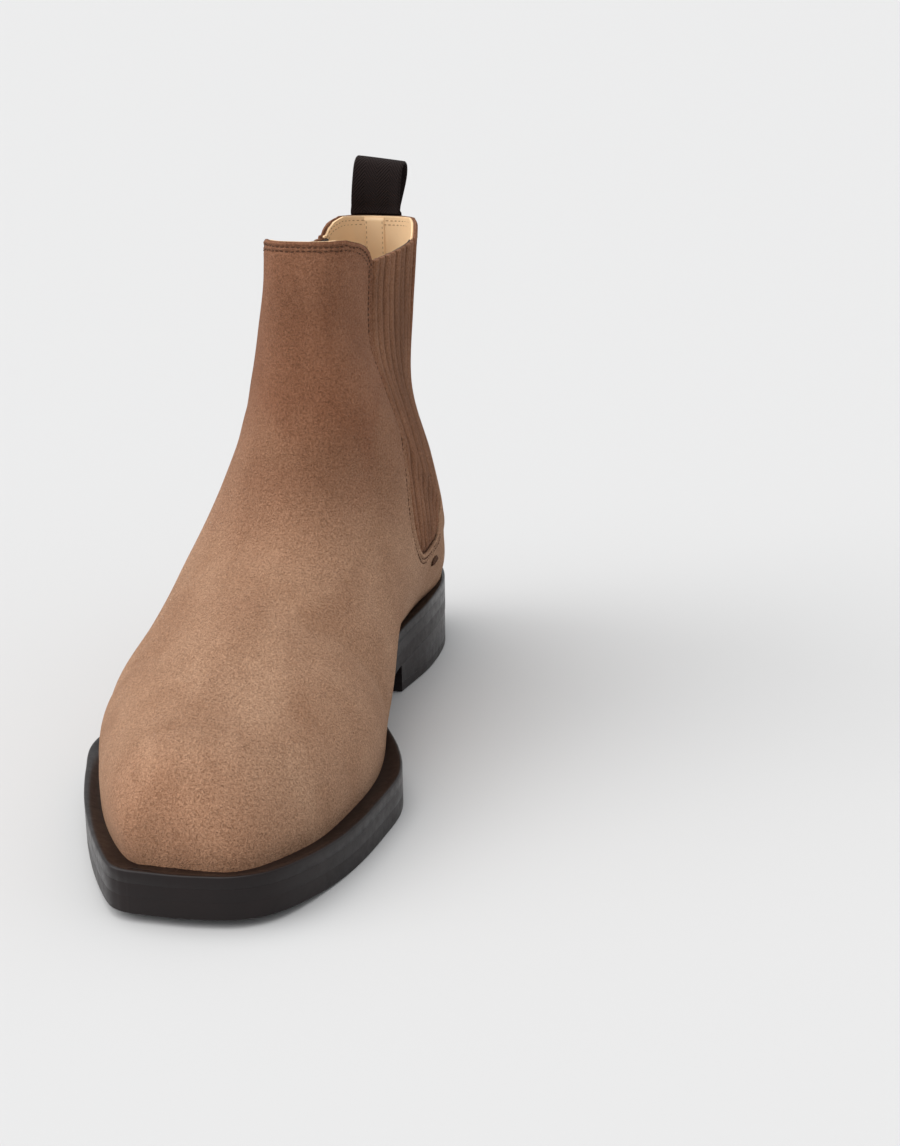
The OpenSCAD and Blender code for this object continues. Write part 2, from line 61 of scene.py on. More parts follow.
# ---------- surface of the upper, as in the CAD
# [ridge x, ridge y, ridge z, end x medial, end x lateral, end y, end z, half widths medial, lateral]
STATIONS = np.array([
    [6, -142, 17, 6, 6, -142, 17, 0, 0],
    [6, -139, 36, 31, -6, -139, 17, 18.5, 18.5],
    [6, -127, 48, 44, -24, -115, 15, 34, 34],
    [5, -103, 54, 50, -41, -83, 15, 45.5, 45.5],
    [4, -77, 62, 50, -54, -49, 15, 49, 52],
    [5, -48, 72, 41, -47, -12, 16, 46, 51],
    [6, -20, 83, 24, -38, 30, 22, 42, 49],
    [5, -8, 98, 25, -31, 77, 28, 38, 47],
    [4, -3, 116, 27, -30, 116, 30, 37, 43],
    [4, 0, 128, 18, -19, 137, 30, 35, 39],
    [4, 2, 139, 3, 3, 144.5, 30, 33, 36],
    [4, 3, 149, 2, 2, 142, 62, 28.7, 32],
    [4, 3, 161, 1, 1, 127, 102, 24, 25],
    [5, 1, 175, 2, 2, 120, 144, 23.4, 19.3],
    [5, 2, 189, 3, 3, 115, 183, 26.2, 17.3],
], float)
# Values of t at the collar, at the back of the heel's foot and at the side seam's foot
TOP_T, HEEL_T, SEAM_T = 14.0, 10.0, 6.92
FIRST_T = 0.012                         # the toe's tip is a point, so grids begin just behind it
EDGE_HALF = 0.05                        # least half width at the end of a section
TUCK = 2.2                              # the lasted edge runs down behind the welt by this much
TOE_SPRING = 3.0
# Thicknesses
SUEDE, LINING, STIFFENER = 1.4, 0.9, 1.1
GLUE = 0.08
OUTSOLE, MIDSOLE, WELT, HEEL, TOP_PIECE = 6.0, 4.6, 4.2, 15.0, 4.0
SEAT = OUTSOLE + MIDSOLE + WELT
BREAST_Y = 56.0


def smooth(u):
    c = np.clip(u, 0, 1)
    return c * c * (3 - 2 * c)


def curve(points, t):
    """Catmull-Rom curve through the rows of points, at parameter t."""
    p = np.asarray(points, float)
    padded = np.vstack([2 * p[0] - p[1], p, 2 * p[-1] - p[-2]])
    t = np.asarray(t, float)
    i = np.clip(np.floor(t).astype(int), 0, len(p) - 2)
    u = (t - i)[..., None]
    a, b, c, d = padded[i], padded[i + 1], padded[i + 2], padded[i + 3]
    return 0.5 * (2 * b + (c - a) * u + (2 * a - 5 * b + 4 * c - d) * u**2 + (3 * b - a - 3 * c + d) * u**3)


def along(points, v):
    return curve(points, np.asarray(v, float) * (len(points) - 1))


def rise(y):
    """Underside of the outsole over the ground."""
    return HEEL * smooth((y + 35) / 132) + TOE_SPRING * smooth((-100 - y) / 50)


def welt_top(y):
    return rise(y) + SEAT


def spow(v, p):
    return np.sign(v) * np.abs(v) ** p


def roundness(t):
    """Power of the superellipse in the section at t; 2 is a plain ellipse."""
    return 2.3 - 0.35 * smooth((t - 2) / 4)


def front_fullness(t, side):
    """What the front of a section adds to that power, as the shaft's front is squarer."""
    return np.where(side > 0, 1.5 * smooth((t - 7) / 2), 0.6 * smooth((t - 11) / 3))


def rear_fullness(t):
    return 0.9 * smooth((t - 12) / 1.6)


def section(t):
    """Numbers that shape the section at t: station row, half width at the end, and roundness."""
    s = curve(STATIONS, t)
    return s, np.maximum(EDGE_HALF, (s[..., 3] - s[..., 4]) / 2), roundness(t)


def section_end(t, half, widest, n):
    """Half width left at the section's end as a share of the widest, and the angle there."""
    ratio = np.where(t > HEEL_T, 0, np.minimum(1, (half - EDGE_HALF) / widest))
    return ratio, math.pi - np.arcsin(ratio ** (n / 2))


def skin(t, a, side):
    """Outer surface of the upper: t runs from toe to collar, a from the ridge to the section's end."""
    t, a, side = np.broadcast_arrays(np.asarray(t, float), np.asarray(a, float), np.asarray(side, float))
    s, half, n = section(t)
    w = np.maximum(half, np.where(side > 0, s[..., 7], s[..., 8]))
    ratio, end = section_end(t, half, w, n)
    c = spow(np.cos(a * end), 2 / n)
    m = n + np.where(c > 0, front_fullness(t, side), rear_fullness(t))
    across = np.sign(np.sin(a * end)) * (1 - np.minimum(1, np.abs(c)) ** m) ** (1 / m)
    drop = (1 - c) / (1 - spow(np.cos(end), 2 / n))
    spread = np.minimum(1.5, across / np.maximum(ratio, 0.001))
    k = smooth((t - 3) / 3.5)
    end_z = np.where(t < HEEL_T, welt_top(s[..., 5]) + 0.3, s[..., 6])
    mid_x = (s[..., 3] + s[..., 4]) / 2
    x = s[..., 0] + (mid_x - s[..., 0]) * drop + side * w * across
    y = s[..., 1] + (s[..., 5] - s[..., 1]) * ((1 - k) * spread + k * drop)
    z = s[..., 2] + (end_z - s[..., 2]) * drop
    z = z - TUCK * (1 - smooth((z - welt_top(y)) / 5))
    return np.stack([x, y, z], -1)


def normal(t, a, side):
    """Outward direction of the skin, from its slopes over a small step of t and a."""
    e = 0.02
    t, a, side = np.broadcast_arrays(np.asarray(t, float), np.asarray(a, float), np.asarray(side, float))
    t1, t2 = np.maximum(0.03, t - e), np.minimum(TOP_T, np.maximum(t, 0.03) + e)
    a1, a2 = a - e, np.where(t > HEEL_T, a + e, np.minimum(1, a + e))
    c = np.cross(skin(t2, a, side) - skin(t1, a, side), skin(t, a2, side) - skin(t, a1, side))
    c *= -side[..., None]
    return c / np.maximum(1e-9, np.linalg.norm(c, axis=-1, keepdims=True))


def at(y, z):
    """Side view of the shaft turned into [t, a]."""
    y, z = np.broadcast_arrays(np.asarray(y, float), np.asarray(z, float))
    lo, hi = np.full(y.shape, 6.2), np.full(y.shape, TOP_T)
    for _ in range(26):
        mid = (lo + hi) / 2
        s = curve(STATIONS, mid)
        over = (s[..., 5] - s[..., 1]) * (z - s[..., 2]) - (s[..., 6] - s[..., 2]) * (y - s[..., 1]) > 0
        lo, hi = np.where(over, mid, lo), np.where(over, hi, mid)
    t = (lo + hi) / 2
    s, half, n = section(t)
    drop = np.clip((y - s[..., 1]) / (s[..., 5] - s[..., 1]), 0, 1)
    _, end = section_end(t, half, (s[..., 7] + s[..., 8]) / 2, n)
    c = 1 - drop * (1 - spow(np.cos(end), 2 / n))
    return np.stack([t, np.arccos(np.clip(spow(c, n / 2), -1, 1)) / end], -1)


# ---------- pattern lines, in the side view [y, z]
GORE_FRONT = [[71.6, 57.4], [61.8, 56.9], [53.2, 59.6], [46.5, 67.8], [41.8, 82], [39.9, 91], [38.4, 100],
              [36.9, 110], [35.5, 120], [32.9, 145], [31.2, 163], [30, 176]]
GORE_REAR = [[72.4, 57.4], [77.5, 58.2], [83, 59.8], [88.5, 63.5], [92.5, 69], [95.5, 76], [97.6, 90],
             [98.4, 110], [97.0, 134], [93.2, 158], [89.6, 176]]


def ts(values, a):
    """Rows [t, a] with the same a."""
    return [[t, a] for t in values]


# Control rows [t, a] of the panels: middle line, the line that steers the columns, and cut edge
RIDGE = ts([0.015, 1, 2, 3, 4, 5, 6, 6.5, 6.7, 6.8, 6.9, 7.05, 7.4, 8.1, 8.7, 9.3, 9.95, 10.6, 11.7, 12.7,
            13.3, 13.65, 14], 0)
STEER = ts([0.015, 1, 2, 3, 4, 5, 6], 0.5) + [
    [6.6, 0.6], [6.755, 0.746], [6.714, 0.92], [6.872, 0.755], [6.86, 0.65], [6.95, 0.56], [7.5, 0.42],
    [8.35, 0.31], [9.3, 0.21], [9.95, 0.2], [10.6, 0.19], [11.7, 0.18], [12.7, 0.17], [13.35, 0.16],
    [13.78, 0.125], [14, 0.08]]
EDGE = np.array(ts([0.015, 1, 2, 3, 4, 5, 6, SEAM_T], 1) + [at(72.4, 40)] + [at(*p) for p in GORE_FRONT]
                + [[13.83, 0.262], [14, 0.165]])
SEAM_ROW, GORE_ROW = 7, 9        # rows of EDGE at the foot of the side seam and at the gore's foot
BACK_SEAM = ts([10, 10.35, 10.7, 11.05, 11.4, 11.7, 12, 12.3, 12.6, 12.9, 13.2, 13.5, 13.72, 13.86,
                13.94, 14], 1)
BACK_EDGE = np.array([[SEAM_T + 0.01, 1], at(72.7, 40)] + [at(*p) for p in GORE_REAR]
                     + [[13.81, 0.7], [13.93, 0.735], [14, 0.81]])
BACK_STEER = (np.array(BACK_SEAM) + BACK_EDGE) / 2
BACK_SEAM_ROW, BACK_GORE_ROW = 0.02, 2


# ---------- mesh helpers
def mesh_object(name, verts, faces, material, smooth_shading=True, uv=None):
    """Mesh from points in millimetres; uv has a row for each point."""
    mesh = bpy.data.meshes.new(name)
    face_list = faces if isinstance(faces, list) else faces.tolist()
    mesh.from_pydata((np.asarray(verts) * MM).tolist(), [], face_list)
    mesh.update()
    if uv is not None:
        loops = np.zeros(len(mesh.loops), np.int32)
        mesh.loops.foreach_get("vertex_index", loops)
        mesh.uv_layers.new(name="UVMap").data.foreach_set("uv", np.asarray(uv, np.float32)[loops].ravel())
    if smooth_shading:
        mesh.shade_smooth()
    mesh.materials.append(material)
    obj = bpy.data.objects.new(name, mesh)
    bpy.context.scene.collection.objects.link(obj)
    return obj


def quads(rows, cols, start=0, wrap=False, flip=False):
    """Faces of a grid of points numbered row by row from start."""
    i, j = np.meshgrid(np.arange(rows - 1), np.arange(cols if wrap else cols - 1), indexing="ij")
    k = (j + 1) % cols
    row, above = i * cols + start, (i + 1) * cols + start
    q = np.stack([row + j, row + k, above + k, above + j], -1).reshape(-1, 4)
    return q[:, ::-1] if flip else q


def edit(obj, change):
    """Runs change on the object's mesh as a bmesh."""
    bm = bmesh.new()
    bm.from_mesh(obj.data)
    change(bm)
    bm.to_mesh(obj.data)
    bm.free()


def weld(obj, distance=0.004):
    """Joins coincident points, so that the two faces of a sheet meet in a rolled edge."""
    edit(obj, lambda bm: (bmesh.ops.remove_doubles(bm, verts=bm.verts, dist=distance * MM),
                          bmesh.ops.dissolve_degenerate(bm, edges=bm.edges, dist=distance * MM / 4)))
    obj.data.shade_smooth()
    return obj


def sheet_mesh(name, outer, inner, material, uv=None):
    """Closed sheet between two grids of points with the same rows and columns."""
    rows, cols = outer.shape[:2]
    n = rows * cols
    r, c = rows // 2, cols // 2
    e1, e2 = outer[r, c + 1] - outer[r, c - 1], outer[r + 1, c] - outer[r - 1, c]
    flip = np.dot(np.cross(e1, e2), outer[r, c] - inner[r, c]) < 0
    index = np.arange(n).reshape(rows, cols)
    ring = np.concatenate([index[0], index[1:, -1], index[-1, -2::-1], index[-2:0:-1, 0]])
    nxt = np.roll(ring, -1)
    rim = np.stack([ring, ring + n, nxt + n, nxt], -1)
    rim = rim if not flip else rim[:, ::-1]
    faces = np.vstack([quads(rows, cols, 0, flip=flip), quads(rows, cols, n, flip=not flip), rim])
    verts = np.vstack([outer.reshape(-1, 3), inner.reshape(-1, 3)])
    full_uv = None if uv is None else np.vstack([uv.reshape(-1, 2)] * 2)
    return weld(mesh_object(name, verts, faces, material, uv=full_uv))


def distance_to(points, line, chunk=4000):
    """Distance of each point to the nearest of the line's points."""
    flat = points.reshape(-1, points.shape[-1]).astype(np.float32)
    line = line.astype(np.float32)
    out = np.empty(len(flat), np.float32)
    for i in range(0, len(flat), chunk):
        d = flat[i:i + chunk, None] - line[None]
        out[i:i + chunk] = np.sqrt((d * d).sum(-1).min(1))
    return out.reshape(points.shape[:-1])


def respaced(line, step):
    """The polyline with points a fixed step apart."""
    seg = np.linalg.norm(np.diff(line, axis=0), axis=1)
    s = np.concatenate([[0], np.cumsum(seg)])
    keep = np.concatenate([[True], seg > 1e-7])
    s, line = s[keep], line[keep]
    u = np.linspace(0, s[-1], max(2, int(round(s[-1] / step)) + 1))
    return np.stack([np.interp(u, s, line[:, k]) for k in range(line.shape[1])], -1)


# Distances of the columns beside a cut edge, dense enough for its roll and its stitch grooves
NEAR_EDGE = np.array([0, 0.06, 0.16, 0.32, 0.55, 0.9, 1.3, 1.65, 2.0, 2.35, 2.75, 3.15, 3.5, 3.85, 4.3,
                      5, 6.2, 8, 10.5])
NARROW = 26.0                           # rows shorter than this have the columns closer together


def columns(t_of, a_of, side, inner_count):
    """Fractions from the middle line (0) to the cut edge (1) for each row, dense near the edge."""
    c = np.linspace(0, 1, 90)
    pts = skin(t_of(c), a_of(c), side)
    steps = np.linalg.norm(np.diff(pts, axis=1), axis=2)
    length = np.concatenate([np.zeros((len(pts), 1)), np.cumsum(steps, 1)], 1)
    total = length[:, -1:]
    near = total - NEAR_EDGE[None] * np.minimum(1, total / NARROW)
    far = np.linspace(0, 1, inner_count, endpoint=False)[None] * near[:, -1:]
    target = np.concatenate([far, near[:, ::-1]], 1)
    return np.stack([np.interp(target[i], length[i], c) for i in range(len(pts))])


def panel_rows(count, spread):
    """Shares from a panel's foot (0) to the collar (1), dense beside the collar's edge."""
    near_top = 1 - NEAR_EDGE * spread
    even = np.linspace(0, 1, count)
    return np.unique(np.concatenate([even[even < near_top[-1] - 0.002], near_top]))


ROLL = SUEDE / 2
LINE_STEP = 0.5
STITCH_1, STITCH_2 = 1.8, 3.5           # distances of the two rows of stitches from the edge
# Relief beside the edge: [distance, width, depth], where the suede swells up if the depth is negative
RELIEF = [[STITCH_1, 0.38, 0.5], [STITCH_2, 0.38, 0.5], [0.85, 0.4, -0.2], [2.65, 0.4, -0.2],
          [4.8, 0.9, -0.1]]


def edge_depth(roll_dist, stitch_dist):
    """Depth of the suede's face under the lasted surface: rolled edge, and stitch grooves with swells."""
    u = np.clip(1 - roll_dist / ROLL, 0, 1)
    roll = ROLL * (1 - np.sqrt(np.maximum(0, 1 - u * u)))
    return roll, sum(depth * np.exp(-((stitch_dist - place) / width) ** 2) for place, width, depth in RELIEF)


def handling(p):
    """Small uneven swells of a soft, lasted skin, in millimetres."""
    x, y, z = p[..., 0], p[..., 1], p[..., 2]
    wide = np.sin(x / 11 + y / 17) * np.sin(y / 13 - z / 19 + 1.3)
    narrow = np.sin(z / 9 + x / 14 + 0.7) * np.sin(y / 23 + 2.1)
    return 0.16 * (wide + 0.6 * narrow)


def panel(name, middle, steer, edge, side_line, rows, inner_count, seam_row, stitch_row, material):
    """Suede panel over both sides of the boot, with columns from its middle line to its cut edge.

    Returns the object, what its lining follows, and its stitched edge as rows of t, a, side."""
    v = rows * (len(edge) - 1)
    m, s, e = curve(middle, v), curve(steer, v), edge_rows(edge, side_line, stitch_row, v)

    def mixed(c, k):
        value = (1 - c) ** 2 * m[:, None, k] + 2 * c * (1 - c) * s[:, None, k] + c * c * e[:, None, k]
        return np.clip(value, FIRST_T, TOP_T) if k == 0 else np.clip(value, 0, 1)

    halves = {}
    for side in (-1, 1):
        c = columns(lambda q: mixed(q[None], 0), lambda q: mixed(q[None], 1), side, inner_count)
        halves[side] = mixed(c, 0), mixed(c, 1)
    t, a = (np.concatenate([halves[-1][k][:, :0:-1], halves[1][k]], 1) for k in (0, 1))
    side = np.where(np.arange(t.shape[1]) < t.shape[1] // 2, -1.0, 1.0)[None] + 0 * t
    base, out_n = skin(t, a, side), normal(t, a, side)
    swell = handling(base)

    def edge_from(grid, row):
        """The grid's cut edge from a control row up one side, along the collar and down again."""
        k = int(np.searchsorted(v, row))
        return np.vstack([grid[k:, 0], grid[-1, 1:-1], grid[k:, -1][::-1]])

    roll, relief = edge_depth(*(distance_to(base, respaced(edge_from(base, row), LINE_STEP))
                                for row in (seam_row, stitch_row)))
    obj = sheet_mesh(name, base - (roll + relief - swell)[..., None] * out_n,
                     base - (SUEDE - roll - swell)[..., None] * out_n, material)
    return obj, (t, base, out_n, swell), edge_from(np.stack([t, a, side], -1), stitch_row)


def edge_rows(edge, side_line, first, v):
    """Rows on the cut edge. Along the gore they follow its smooth line in the side view."""
    e = curve(edge, v)
    on = (v >= first) & (v <= first + len(side_line) - 1)
    yz = curve(side_line, v[on] - first)
    e[on] = at(yz[:, 0], yz[:, 1])
    return e


def tree(obj):
    mesh = obj.data
    return BVHTree.FromPolygons([v.co for v in mesh.vertices], [tuple(p.vertices) for p in mesh.polygons])


def evened(rows, times):
    """Rows averaged with their neighbours, with the ends kept."""
    for _ in range(times):
        rows[1:-1] = (rows[:-2] + rows[1:-1] + rows[2:]) / 3
    return rows


def offset_line(line, distance, depth=0.0):
    """Line at a distance inside a panel's edge and a depth under the skin; line holds rows of t, a, side."""
    ends = skin(*line.T), normal(*line.T)
    packed = respaced(np.hstack(ends), 0.8)
    p, n = packed[:, :3], evened(packed[:, 3:], 4)
    n /= np.linalg.norm(n, axis=1, keepdims=True)
    tangent = evened(np.gradient(p, axis=0), 3)
    tangent /= np.maximum(1e-9, np.linalg.norm(tangent, axis=1, keepdims=True))
    inward = np.cross(n, tangent)
    inward *= -np.sign(inward[len(inward) // 2, 2])      # the line's middle is on the collar, above its panel
    return p + distance * inward - depth * n, n


def capsule_faces(start, rings, around):
    """Faces of a closed tube, whose rings of points begin at index start."""
    ends = [[start + k * around + j for j in range(around)] for k in (0, rings - 1)]
    wall = [[start + i * around + j, start + i * around + (j + 1) % around,
             start + (i + 1) * around + (j + 1) % around, start + (i + 1) * around + j]
            for i in range(rings - 1) for j in range(around)]
    return wall + [ends[0][::-1], ends[1]]


THREAD_R, THREAD_LIFT = 0.3, 0.02
PITCH, STITCH_L = 2.05, 1.7


def thread_row(lines, radius, surface):
    """Stitches along lines of points with normals: short capsules of thread, sunk at both ends."""
    rings, around = 7, 6
    verts, faces = [], []
    angle = np.arange(around) * 2 * math.pi / around
    for points, normals in lines:
        packed = respaced(np.hstack([points, normals]), PITCH)
        p, n = packed[:, :3], packed[:, 3:]
        n = n / np.linalg.norm(n, axis=1, keepdims=True)
        if surface is not None:
            p = np.array([surface.find_nearest(Vector(q * MM))[0] for q in p]) / MM
        d = np.gradient(p, axis=0)
        d /= np.maximum(1e-9, np.linalg.norm(d, axis=1, keepdims=True))
        across = np.cross(d, n)
        for k in range(1, len(p) - 1):
            centre = p[k] + THREAD_LIFT * n[k]
            faces.extend(capsule_faces(len(verts), rings, around))
            for u in np.linspace(-1, 1, rings):
                r = radius * math.sqrt(max(0.02, 1 - abs(u) ** 3))
                c = centre + d[k] * u * STITCH_L / 2 - n[k] * 0.88 * radius * u * u
                verts.extend(c + r * (math.cos(w) * across[k] + 0.8 * math.sin(w) * n[k]) for w in angle)
    return verts, faces


# ---------- materials
def node_material(name, color, roughness, sheen=0.0, specular=0.5, coat=0.0, metallic=0.0):
    m = bpy.data.materials.new(name)
    m.use_nodes = True
    b = m.node_tree.nodes["Principled BSDF"]
    b.inputs["Base Color"].default_value = (*color, 1)
    b.inputs["Roughness"].default_value = roughness
    b.inputs["Specular IOR Level"].default_value = specular
    b.inputs["Sheen Weight"].default_value = sheen
    b.inputs["Coat Weight"].default_value = coat
    b.inputs["Coat Roughness"].default_value = 0.12
    b.inputs["Metallic"].default_value = metallic
    return m


class Graph:
    """Short calls for the nodes that the materials share. Object coordinates are in metres."""

    def __init__(self, material):
        self.tree = material.node_tree
        self.shader = self.tree.nodes["Principled BSDF"]
        self.coord = self.tree.nodes.new("ShaderNodeTexCoord").outputs

    def feed(self, socket, value):
        """Links an output to the socket, or sets a number, vector or colour on it."""
        if isinstance(value, tuple):
            socket.default_value = (*value, 1) if socket.type == "RGBA" else value
        elif isinstance(value, (int, float)):
            socket.default_value = value
        elif value is not None:
            self.tree.links.new(value, socket)

    def node(self, kind, inputs, **settings):
        """Outputs of a new node."""
        n = self.tree.nodes.new(kind)
        for key, value in settings.items():
            setattr(n, key, value)
        for key, value in inputs.items():
            self.feed(n.inputs[key], value)
        return n.outputs

    def place(self, scale):
        return self.node("ShaderNodeMapping", {"Vector": self.coord["Object"], "Scale": scale})["Vector"]

    def parts(self, source):
        """X, Y and Z of the UV or Object coordinates."""
        return self.node("ShaderNodeSeparateXYZ", {0: self.coord[source]})

    def noise(self, scale, detail=2.0, rough=0.5, vector=None, distortion=0.0):
        return self.node("ShaderNodeTexNoise", {
            "Scale": scale, "Detail": detail, "Roughness": rough, "Distortion": distortion,
            "Vector": self.coord["Object"] if vector is None else vector})["Fac"]

    def ramp(self, value, low, high, out_low=0.0, out_high=1.0):
        return self.node("ShaderNodeMapRange", {
            "Value": value, "From Min": low, "From Max": high,
            "To Min": out_low, "To Max": out_high})["Result"]

    def math(self, operation, a, b=None):
        return self.node("ShaderNodeMath", {0: a, 1: b}, operation=operation)[0]

    def plus(self, a, b):
        return self.math("ADD", a, b)

    def times(self, a, b):
        return self.math("MULTIPLY", a, b)

    def ribs(self, value, pitch):
        """Rounded ribs a pitch apart along value, from 0 in the grooves to 1."""
        return self.math("ABSOLUTE", self.math("SINE", self.times(value, math.pi / pitch)))

    def mix(self, factor, a, b, blend="MIX"):
        return self.node("ShaderNodeMix", {"Factor": factor, "A": a, "B": b},
                         data_type="RGBA", blend_type=blend)["Result"]

    def tinted(self, color, share, tint):
        """The colour, multiplied by tint where share is 1."""
        return self.mix(share, color, self.mix(1.0, color, tint, "MULTIPLY"))

    def bump(self, height, distance, strength=1.0, chain=None):
        return self.node("ShaderNodeBump", {
            "Strength": strength, "Distance": distance, "Height": height, "Normal": chain})["Normal"]

    def finish(self, color=None, roughness=None, normal=None):
        for key, value in (("Base Color", color), ("Roughness", roughness), ("Normal", normal)):
            self.feed(self.shader.inputs[key], value)


def suede_material(name, light, mid, dark, shaft_painted_shade=0.8, ribs=False):
    """Brushed nap: cloudy patches where the pile lies differently, and pebbly relief of tangled fibres."""
    m = node_material(name, mid, 0.95, sheen=0.12, specular=0.08)
    g = Graph(m)
    g.shader.inputs["Sheen Roughness"].default_value = 0.35
    g.shader.inputs["Sheen Tint"].default_value = (1.0, 0.86, 0.74, 1)
    clouds = g.ramp(g.noise(22, 3, 0.5, distortion=0.9), 0.36, 0.64)
    streaks = g.ramp(g.noise(1, 2, 0.5, vector=g.place((60, 34, 22)), distortion=0.4), 0.38, 0.66)
    pebble = g.noise(1250, 3, 0.66)
    fibre = g.noise(2600, 2, 0.6)
    base = g.mix(clouds, mid, light)
    base = g.mix(g.times(streaks, 0.35), base, dark)
    speckle = g.plus(g.times(g.ramp(pebble, 0.36, 0.64), 0.55), g.times(g.ramp(fibre, 0.32, 0.68), 0.45))
    base = g.mix(1.0, base, g.mix(speckle, (0.58, 0.52, 0.465), (1.38, 1.43, 1.49)), "MULTIPLY")
    if ribs:
        # UV.x counts the ribs: painted shade darkens the stitched-down grooves between them
        base = g.mix(g.ramp(g.ribs(g.parts("UV")["X"], 1), 0.0, 0.62, 0.62, 0.0), base, dark)
    else:
        # painted shade: the shaft is darker above the foot, where its upright front gets less of the light
        # from above
        place = g.parts("Object")
        height = g.plus(place["Z"], g.times(g.math("SUBTRACT", clouds, 0.5), 0.03))
        base = g.tinted(base, g.ramp(height, 0.07, 0.13), (shaft_painted_shade, shaft_painted_shade * 0.79, shaft_painted_shade * 0.71))
        # the toe's tip is tinted darker and redder
        toe = g.math("SUBTRACT", g.times(clouds, 0.012), place["Y"])
        base = g.tinted(base, g.ramp(toe, 0.122, 0.150, 0.0, 0.75), (0.93, 0.83, 0.78))
    soft = g.bump(g.noise(130, 2, 0.6), 0.0014, 0.35)
    pebbles = g.bump(pebble, 0.0012, 1.0, soft)
    nap = g.bump(g.plus(fibre, g.times(g.noise(4200, 1), 0.6)), 0.0004, 0.8, pebbles)
    g.finish(base, g.ramp(pebble, 0.3, 0.7, 0.88, 1.0), nap)
    return m


def leather_material(name, light, dark, roughness, pore=900, bump=0.00012, specular=0.4):
    """Smooth leather: cloudy tone, fine pores and an uneven gloss."""
    m = node_material(name, light, roughness, specular=specular)
    g = Graph(m)
    tone = g.ramp(g.noise(30, 3, 0.6), 0.3, 0.7)
    pores = g.noise(pore, 2, 0.6)
    g.finish(g.mix(tone, dark, light), g.ramp(g.noise(70, 3), 0.3, 0.7, roughness - 0.06, roughness + 0.08),
             g.bump(g.plus(pores, g.times(g.noise(160, 3), 0.8)), bump, 0.6))
    return m


def sole_material(name, light, dark, roughness, coat):
    """Dyed and waxed edge: cloudy dye, fine scuffs and a soft gloss."""
    m = node_material(name, dark, roughness, specular=0.26, coat=coat)
    g = Graph(m)
    g.shader.inputs["Coat Roughness"].default_value = 0.25
    grain = g.noise(1, 3, 0.6, vector=g.place((60, 60, 420)))
    tone = g.ramp(g.noise(45, 3, 0.6), 0.3, 0.75)
    color = g.mix(g.times(tone, 0.8), dark, light)
    scuffs = g.ramp(g.noise(300, 4, 0.65), 0.35, 0.75)
    g.finish(color, g.ramp(scuffs, 0, 1, roughness - 0.06, roughness + 0.12),
             g.bump(g.plus(g.times(grain, 0.35), g.noise(700, 3, 0.6)), 0.00006, 0.5))
    return m


def tape_material(name, color, highlight):
    """Herringbone twill that turns back every quarter of the width. UV is in millimetres."""
    m = node_material(name, color, 0.85, sheen=0.03, specular=0.12)
    g = Graph(m)
    place = g.parts("UV")
    zigzag = g.math("PINGPONG", place["X"], 5.0)
    twill = g.ribs(g.plus(g.times(zigzag, 1.25), place["Y"]), 1.45)
    yarn = g.ribs(g.math("SUBTRACT", place["Y"], g.times(zigzag, 0.8)), 0.75)
    height = g.plus(twill, g.times(yarn, 0.35))
    fuzz = g.noise(2600, 2, 0.6)
    g.finish(g.mix(g.ramp(height, 0.2, 1.3), color, highlight), None,
             g.bump(g.plus(height, g.times(fuzz, 0.5)), 0.00038, 0.9))
    return m


def elastic_material(name, color, highlight):
    """Woven elastic: upright cords crossed by fine weft. UV is in millimetres."""
    m = node_material(name, color, 0.8, sheen=0.08, specular=0.2)
    g = Graph(m)
    place = g.parts("UV")
    height = g.plus(g.ribs(place["X"], 1.6), g.times(g.ribs(place["Y"], 0.6), 0.3))
    g.finish(g.mix(g.ramp(height, 0.1, 1.2), color, highlight), None, g.bump(height, 0.0003, 0.8))
    return m


def shades(color, dark, light):
    """A darker and a lighter colour of the same hue."""
    return tuple(c * dark for c in color), tuple(min(1, c * light) for c in color)


def thread_material(name, color):
    m = node_material(name, color, 0.75, specular=0.12)
    g = Graph(m)
    twist = g.noise(1, 1, 0.5, vector=g.place((2200, 2200, 2200)))
    g.finish(g.mix(twist, *shades(color, 0.6, 1.5)), None, g.bump(twist, 0.00012, 0.6))
    return m


def hidden_material(name, slot, color):
    """Grain for the pieces inside, from their class."""
    metal = slot in ("shank_steel", "nail_brass")
    m = node_material(name, color, 0.35 if metal else 0.8, metallic=1.0 if metal else 0.0)
    g = Graph(m)
    stretch = (60, 900, 900) if slot == "shank_steel" else (340, 340, 340)
    grain = g.noise(1, 4, 0.65, vector=g.place(stretch))
    g.finish(g.mix(grain, *shades(color, 0.7, 1.25)), None, g.bump(grain, 0.0002, 0.5))
    return m


# the last number is the painted shade that darkens the shaft above the foot
SUEDE_MAT = suede_material("suede", (0.495, 0.293, 0.184), (0.415, 0.23, 0.137), (0.29, 0.143, 0.078), 0.65)
# its dark colour is also painted as shade in the grooves between the ribs
GORE_MAT = suede_material("suede_gore", (0.32, 0.150, 0.081), (0.265, 0.118, 0.061), (0.08, 0.034, 0.018),
                          ribs=True)
LINING_MAT = leather_material("lining", (0.97, 0.70, 0.43), (0.90, 0.61, 0.35), 0.5, specular=0.25)
SOLE_MAT = sole_material("sole_leather", (0.0105, 0.0052, 0.0050), (0.0056, 0.0031, 0.0032), 0.36, 0.06)
RUBBER_MAT = sole_material("sole_rubber", (0.0125, 0.0068, 0.0064), (0.0070, 0.0042, 0.0042), 0.42, 0.03)
TAPE_MAT = tape_material("tape", (0.0085, 0.0050, 0.0046), (0.023, 0.0145, 0.0135))
ELASTIC_MAT = elastic_material("elastic", (0.012, 0.009, 0.008), (0.036, 0.028, 0.026))
THREAD_MAT = thread_material("thread", (0.088, 0.043, 0.026))
SEWING_MAT = thread_material("lining_thread", (0.46, 0.29, 0.165))


def bends(obj):
    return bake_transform(obj)


def piece(obj, body="boot", stands_for=()):
    """Puts the object on the body it rides on, or bakes it in place for a piece that bends, and hides the CAD
    nodes it stands for.
    """
    if body == "bends":
        bends(obj)
    else:
        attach(obj, body)
    if stands_for:
        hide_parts(*stands_for)
    return obj


